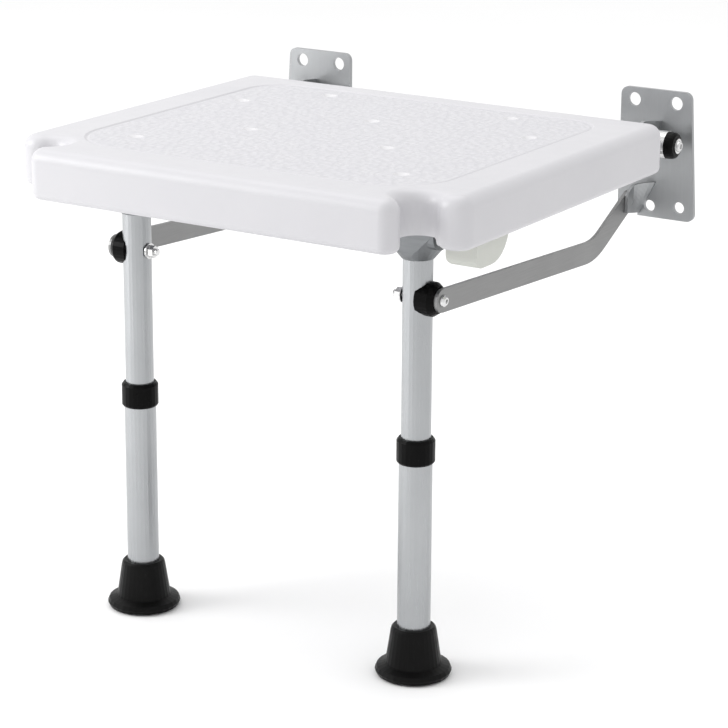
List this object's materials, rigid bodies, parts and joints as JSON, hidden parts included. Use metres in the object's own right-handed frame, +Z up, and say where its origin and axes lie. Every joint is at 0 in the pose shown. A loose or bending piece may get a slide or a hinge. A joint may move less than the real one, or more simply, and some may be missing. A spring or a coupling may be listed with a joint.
{
  "type": "fold-up shower seat",
  "caption": "Wall-mounted fold-up shower seat: moulded panel with corner notches, link arms, and swing-down telescopic legs on rubber feet.",
  "frame": {"origin": "on the floor, under the middle of the object's overall box at rest", "axes": "+X along the wall, to the right of someone facing it, +Y into the wall, +Z up"},
  "size_m": [0.449, 0.46, 0.4545],
  "materials": {
    "seat_plastic": "semi-gloss moulded white plastic, finely textured sitting surface",
    "tube_aluminium": "satin anodised tube",
    "link_aluminium": "satin flat bar",
    "plate_metal": "satin formed plate",
    "head_metal": "satin formed sheet",
    "ivory_plastic": "matt ivory moulding",
    "black_plastic": "matt black moulding",
    "rubber": "matt black rubber",
    "steel": "polished stainless steel"
  },
  "bodies": {
    "wall_fixing": {"wall_plate_right": "plate_metal", "wall_plate_left": "plate_metal", "arm_pin_right": "steel", "arm_pin_left": "steel"},
    "seat": {"seat_panel": "seat_plastic", "front_tube": "tube_aluminium", "rear_tube": "steel", "front_block_right": "ivory_plastic", "front_block_left": "ivory_plastic", "rear_block_right": "ivory_plastic", "rear_block_left": "ivory_plastic", "front_block_screw_1_right": "steel", "front_block_screw_1_left": "steel", "front_block_screw_2_right": "steel", "front_block_screw_2_left": "steel", "rear_block_screw_1_right": "steel", "rear_block_screw_1_left": "steel", "rear_block_screw_2_right": "steel", "rear_block_screw_2_left": "steel", "hinge_cap_right": "black_plastic", "hinge_cap_left": "black_plastic", "hinge_washer_right": "steel", "hinge_washer_left": "steel", "hinge_screw_right": "steel", "hinge_screw_left": "steel", "tube_plug_right": "black_plastic", "tube_plug_left": "black_plastic"},
    "arm_right": {"arm_right": "link_aluminium"},
    "leg_right": {"leg_head_right": "head_metal", "upper_tube_right": "tube_aluminium", "saddle_spacer_right": "black_plastic", "arm_bolt_right": "steel", "bolt_washer_right": "steel", "bolt_nut_right": "steel", "button_spring_right": "steel"},
    "button_right": {"snap_button_right": "steel"},
    "lower_leg_right": {"lower_tube_right": "tube_aluminium", "guide_collar_right": "black_plastic", "rubber_foot_right": "rubber"},
    "arm_left": {"arm_left": "link_aluminium"},
    "leg_left": {"leg_head_left": "head_metal", "upper_tube_left": "tube_aluminium", "saddle_spacer_left": "black_plastic", "arm_bolt_left": "steel", "bolt_washer_left": "steel", "bolt_nut_left": "steel", "button_spring_left": "steel"},
    "button_left": {"snap_button_left": "steel"},
    "lower_leg_left": {"lower_tube_left": "tube_aluminium", "guide_collar_left": "black_plastic", "rubber_foot_left": "rubber"}
  },
  "joints": [
    {"name": "seat_fold", "type": "hinge", "parent": "wall_fixing", "child": "seat", "pos_m": [0, 0.199, 0.411], "axis": [-1, 0, 0], "range_deg": [0, 85]},
    {"name": "arm_fold_right", "type": "hinge", "parent": "wall_fixing", "child": "arm_right", "pos_m": [0.1662, 0.207, 0.352], "axis": [-1, 0, 0], "range_deg": [0, 85]},
    {"name": "leg_fold_right", "type": "hinge", "parent": "seat", "child": "leg_right", "pos_m": [0.1435, -0.134, 0.393], "axis": [1, 0, 0], "range_deg": [0, 85]},
    {"name": "leg_slide_right", "type": "slide", "parent": "leg_right", "child": "lower_leg_right", "axis": [0, 0, -1], "range_m": [0, 0.09]},
    {"name": "button_press_right", "type": "slide", "parent": "leg_right", "child": "button_right", "axis": [0, -1, 0], "range_m": [0, 0.0036], "stiffness_N_per_m": 500, "springref_m": -0.004, "deforming": ["button_spring_right"]},
    {"name": "arm_fold_left", "type": "hinge", "parent": "wall_fixing", "child": "arm_left", "pos_m": [-0.1662, 0.207, 0.352], "axis": [-1, 0, 0], "range_deg": [0, 85]},
    {"name": "leg_fold_left", "type": "hinge", "parent": "seat", "child": "leg_left", "pos_m": [-0.1435, -0.134, 0.393], "axis": [1, 0, 0], "range_deg": [0, 85]},
    {"name": "leg_slide_left", "type": "slide", "parent": "leg_left", "child": "lower_leg_left", "axis": [0, 0, -1], "range_m": [0, 0.09]},
    {"name": "button_press_left", "type": "slide", "parent": "leg_left", "child": "button_left", "axis": [0, -1, 0], "range_m": [0, 0.0036], "stiffness_N_per_m": 500, "springref_m": -0.004, "deforming": ["button_spring_left"]}
  ],
  "couplings": [
    {"joint": "arm_fold_right", "follows": "seat_fold", "ratio": 1},
    {"joint": "leg_fold_right", "follows": "seat_fold", "ratio": 1},
    {"joint": "arm_fold_left", "follows": "seat_fold", "ratio": 1},
    {"joint": "leg_fold_left", "follows": "seat_fold", "ratio": 1}
  ]
}
